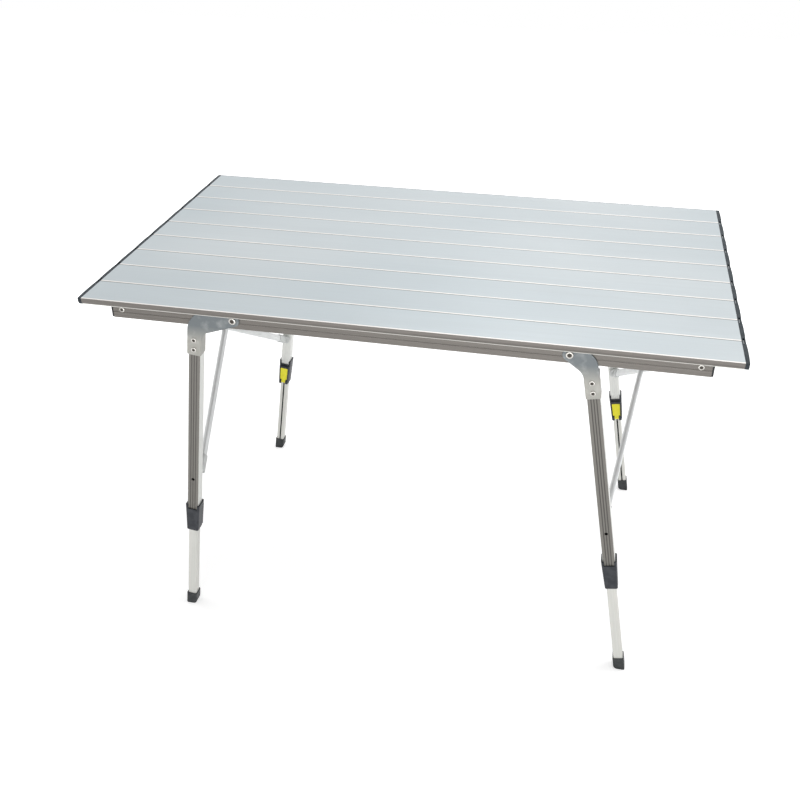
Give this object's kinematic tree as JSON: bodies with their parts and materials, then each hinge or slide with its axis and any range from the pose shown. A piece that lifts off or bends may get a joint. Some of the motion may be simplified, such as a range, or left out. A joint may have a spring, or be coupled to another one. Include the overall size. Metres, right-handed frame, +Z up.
{
  "type": "folding table",
  "caption": "Folding table with a roll-up slatted top on two rails, splayed telescopic legs with clamp levers, and an X brace at each end.",
  "frame": {"origin": "on the floor, under the middle of the tabletop", "axes": "+X along the slats to the right, +Y from the front edge to the rear, +Z up"},
  "size_m": [1.0998, 0.6584, 0.706],
  "materials": {
    "slat_aluminium": "satin anodised, brushed along the slat",
    "rail_aluminium": "satin anodised extrusion",
    "leg_aluminium": "satin anodised fluted tube",
    "tube_aluminium": "satin anodised smooth tube",
    "strut_aluminium": "bright anodised flat tube",
    "bracket_paint": "grey powder coat",
    "rivet_steel": "bright rivets",
    "cap_plastic": "blue-black moulded plastic",
    "link_plastic": "light grey moulded plastic",
    "black_plastic": "black moulded plastic",
    "foot_plastic": "black moulded plastic",
    "lever_yellow": "yellow moulded plastic",
    "fitting_plastic": "light grey moulded plastic"
  },
  "bodies": {
    "frame": {"front_rail": "rail_aluminium", "rear_rail": "rail_aluminium", "top_clips": "black_plastic", "rail_plugs": "black_plastic", "rail_rivets": "rivet_steel", "pivot_rivets": "rivet_steel"},
    "slat_5": {"slat_5": "slat_aluminium", "slat_caps_5": "cap_plastic"},
    "link_4": {"link_plates_4": "link_plastic"},
    "slat_4": {"slat_4": "slat_aluminium", "slat_caps_4": "cap_plastic"},
    "link_3": {"link_plates_3": "link_plastic"},
    "slat_3": {"slat_3": "slat_aluminium", "slat_caps_3": "cap_plastic"},
    "link_2": {"link_plates_2": "link_plastic"},
    "slat_2": {"slat_2": "slat_aluminium", "slat_caps_2": "cap_plastic"},
    "link_1": {"link_plates_1": "link_plastic"},
    "slat_1": {"slat_1": "slat_aluminium", "slat_caps_1": "cap_plastic"},
    "link_5": {"link_plates_5": "link_plastic"},
    "slat_6": {"slat_6": "slat_aluminium", "slat_caps_6": "cap_plastic"},
    "link_6": {"link_plates_6": "link_plastic"},
    "slat_7": {"slat_7": "slat_aluminium", "slat_caps_7": "cap_plastic"},
    "link_7": {"link_plates_7": "link_plastic"},
    "slat_8": {"slat_8": "slat_aluminium", "slat_caps_8": "cap_plastic"},
    "link_8": {"link_plates_8": "link_plastic"},
    "slat_9": {"slat_9": "slat_aluminium", "slat_caps_9": "cap_plastic"},
    "left_legs": {"brackets_left": "bracket_paint", "bracket_rivets_left": "rivet_steel", "upper_tube_front_left": "leg_aluminium", "upper_tube_rear_left": "leg_aluminium", "sleeve_front_left": "black_plastic", "sleeve_rear_left": "black_plastic"},
    "lower_front_left": {"lower_tube_front_left": "tube_aluminium", "foot_front_left": "foot_plastic"},
    "lever_front_left": {"lever_front_left": "lever_yellow"},
    "lower_rear_left": {"lower_tube_rear_left": "tube_aluminium", "foot_rear_left": "foot_plastic"},
    "lever_rear_left": {"lever_rear_left": "lever_yellow"},
    "left_brace": {"struts_left": "strut_aluminium", "brace_fittings_left": "fitting_plastic"},
    "right_legs": {"brackets_right": "bracket_paint", "bracket_rivets_right": "rivet_steel", "upper_tube_front_right": "leg_aluminium", "upper_tube_rear_right": "leg_aluminium", "sleeve_front_right": "black_plastic", "sleeve_rear_right": "black_plastic"},
    "lower_front_right": {"lower_tube_front_right": "tube_aluminium", "foot_front_right": "foot_plastic"},
    "lever_front_right": {"lever_front_right": "lever_yellow"},
    "lower_rear_right": {"lower_tube_rear_right": "tube_aluminium", "foot_rear_right": "foot_plastic"},
    "lever_rear_right": {"lever_rear_right": "lever_yellow"},
    "right_brace": {"struts_right": "strut_aluminium", "brace_fittings_right": "fitting_plastic"}
  },
  "joints": [
    {"name": "top_lift", "type": "slide", "parent": "frame", "child": "slat_5", "axis": [0, 0, 1], "range_m": [0, 0.6]},
    {"name": "seam_4_turn", "type": "hinge", "parent": "slat_5", "child": "slat_4", "pos_m": [0, -0.0416, 0.7], "axis": [1, 0, 0], "range_deg": [0, 38]},
    {"name": "link_4_outer_pin", "type": "hinge", "parent": "slat_4", "child": "link_4", "pos_m": [0, -0.0416, 0.7], "axis": [-1, 0, 0], "range_deg": [0, 38]},
    {"name": "seam_3_turn", "type": "hinge", "parent": "slat_4", "child": "slat_3", "pos_m": [0, -0.1148, 0.7], "axis": [1, 0, 0], "range_deg": [0, 38]},
    {"name": "link_3_outer_pin", "type": "hinge", "parent": "slat_3", "child": "link_3", "pos_m": [0, -0.1148, 0.7], "axis": [-1, 0, 0], "range_deg": [0, 38]},
    {"name": "seam_2_turn", "type": "hinge", "parent": "slat_3", "child": "slat_2", "pos_m": [0, -0.188, 0.7], "axis": [1, 0, 0], "range_deg": [0, 38]},
    {"name": "link_2_outer_pin", "type": "hinge", "parent": "slat_2", "child": "link_2", "pos_m": [0, -0.188, 0.7], "axis": [-1, 0, 0], "range_deg": [0, 38]},
    {"name": "seam_1_turn", "type": "hinge", "parent": "slat_2", "child": "slat_1", "pos_m": [0, -0.2612, 0.7], "axis": [1, 0, 0], "range_deg": [0, 38]},
    {"name": "link_1_outer_pin", "type": "hinge", "parent": "slat_1", "child": "link_1", "pos_m": [0, -0.2612, 0.7], "axis": [-1, 0, 0], "range_deg": [0, 38]},
    {"name": "seam_5_turn", "type": "hinge", "parent": "slat_5", "child": "slat_6", "pos_m": [0, 0.0416, 0.7], "axis": [-1, 0, 0], "range_deg": [0, 38]},
    {"name": "link_5_outer_pin", "type": "hinge", "parent": "slat_6", "child": "link_5", "pos_m": [0, 0.0416, 0.7], "axis": [1, 0, 0], "range_deg": [0, 38]},
    {"name": "seam_6_turn", "type": "hinge", "parent": "slat_6", "child": "slat_7", "pos_m": [0, 0.1148, 0.7], "axis": [-1, 0, 0], "range_deg": [0, 38]},
    {"name": "link_6_outer_pin", "type": "hinge", "parent": "slat_7", "child": "link_6", "pos_m": [0, 0.1148, 0.7], "axis": [1, 0, 0], "range_deg": [0, 38]},
    {"name": "seam_7_turn", "type": "hinge", "parent": "slat_7", "child": "slat_8", "pos_m": [0, 0.188, 0.7], "axis": [-1, 0, 0], "range_deg": [0, 38]},
    {"name": "link_7_outer_pin", "type": "hinge", "parent": "slat_8", "child": "link_7", "pos_m": [0, 0.188, 0.7], "axis": [1, 0, 0], "range_deg": [0, 38]},
    {"name": "seam_8_turn", "type": "hinge", "parent": "slat_8", "child": "slat_9", "pos_m": [0, 0.2612, 0.7], "axis": [-1, 0, 0], "range_deg": [0, 38]},
    {"name": "link_8_outer_pin", "type": "hinge", "parent": "slat_9", "child": "link_8", "pos_m": [0, 0.2612, 0.7], "axis": [1, 0, 0], "range_deg": [0, 38]},
    {"name": "left_fold", "type": "hinge", "parent": "frame", "child": "left_legs", "pos_m": [-0.282, 0, 0.6777], "axis": [0, -1, 0], "range_deg": [0, 97.43]},
    {"name": "tube_slide_front_left", "type": "slide", "parent": "left_legs", "child": "lower_front_left", "axis": [0.1294, 0, 0.9916], "range_m": [0, 0.165]},
    {"name": "lever_front_left", "type": "hinge", "parent": "left_legs", "child": "lever_front_left", "pos_m": [-0.41198, -0.2771, 0.20706], "axis": [-0.9916, 0, 0.1294], "range_deg": [0, 95]},
    {"name": "tube_slide_rear_left", "type": "slide", "parent": "left_legs", "child": "lower_rear_left", "axis": [0.1294, 0, 0.9916], "range_m": [0, 0.165]},
    {"name": "lever_rear_left", "type": "hinge", "parent": "left_legs", "child": "lever_rear_left", "pos_m": [-0.41198, 0.2771, 0.20706], "axis": [0.9916, 0, -0.1294], "range_deg": [0, 95]},
    {"name": "left_brace", "type": "hinge", "parent": "left_legs", "child": "left_brace", "pos_m": [-0.39634, 0, 0.32694], "axis": [0, -1, 0], "range_deg": [-29.8, 0]},
    {"name": "right_fold", "type": "hinge", "parent": "frame", "child": "right_legs", "pos_m": [0.282, 0, 0.6777], "axis": [0, 1, 0], "range_deg": [0, 100.52]},
    {"name": "tube_slide_front_right", "type": "slide", "parent": "right_legs", "child": "lower_front_right", "axis": [-0.1826, 0, 0.9832], "range_m": [0, 0.165]},
    {"name": "lever_front_right", "type": "hinge", "parent": "right_legs", "child": "lever_front_right", "pos_m": [0.40038, -0.2771, 0.20792], "axis": [-0.9832, 0, -0.1826], "range_deg": [0, 95]},
    {"name": "tube_slide_rear_right", "type": "slide", "parent": "right_legs", "child": "lower_rear_right", "axis": [-0.1826, 0, 0.9832], "range_m": [0, 0.165]},
    {"name": "lever_rear_right", "type": "hinge", "parent": "right_legs", "child": "lever_rear_right", "pos_m": [0.40038, 0.2771, 0.20792], "axis": [0.9832, 0, 0.1826], "range_deg": [0, 95]},
    {"name": "right_brace", "type": "hinge", "parent": "right_legs", "child": "right_brace", "pos_m": [0.3783, 0, 0.32679], "axis": [0, 1, 0], "range_deg": [-29.5, 0]}
  ],
  "couplings": [
    {"joint": "seam_1_turn", "follows": "top_lift", "rad_per_m": 1.1054},
    {"joint": "link_1_outer_pin", "follows": "top_lift", "rad_per_m": 1.1054},
    {"joint": "seam_2_turn", "follows": "top_lift", "rad_per_m": 1.1054},
    {"joint": "link_2_outer_pin", "follows": "top_lift", "rad_per_m": 1.1054},
    {"joint": "seam_3_turn", "follows": "top_lift", "rad_per_m": 1.1054},
    {"joint": "link_3_outer_pin", "follows": "top_lift", "rad_per_m": 1.1054},
    {"joint": "seam_4_turn", "follows": "top_lift", "rad_per_m": 1.1054},
    {"joint": "link_4_outer_pin", "follows": "top_lift", "rad_per_m": 1.1054},
    {"joint": "seam_5_turn", "follows": "top_lift", "rad_per_m": 1.1054},
    {"joint": "link_5_outer_pin", "follows": "top_lift", "rad_per_m": 1.1054},
    {"joint": "seam_6_turn", "follows": "top_lift", "rad_per_m": 1.1054},
    {"joint": "link_6_outer_pin", "follows": "top_lift", "rad_per_m": 1.1054},
    {"joint": "seam_7_turn", "follows": "top_lift", "rad_per_m": 1.1054},
    {"joint": "link_7_outer_pin", "follows": "top_lift", "rad_per_m": 1.1054},
    {"joint": "seam_8_turn", "follows": "top_lift", "rad_per_m": 1.1054},
    {"joint": "link_8_outer_pin", "follows": "top_lift", "rad_per_m": 1.1054},
    {"joint": "tube_slide_front_left", "follows": "left_fold", "m_per_rad": 0.097031},
    {"joint": "tube_slide_rear_left", "follows": "left_fold", "m_per_rad": 0.097031},
    {"joint": "left_brace", "follows": "left_fold", "ratio": -0.30512},
    {"joint": "tube_slide_front_right", "follows": "right_fold", "m_per_rad": 0.094048},
    {"joint": "tube_slide_rear_right", "follows": "right_fold", "m_per_rad": 0.094048},
    {"joint": "right_brace", "follows": "right_fold", "ratio": -0.2934}
  ]
}
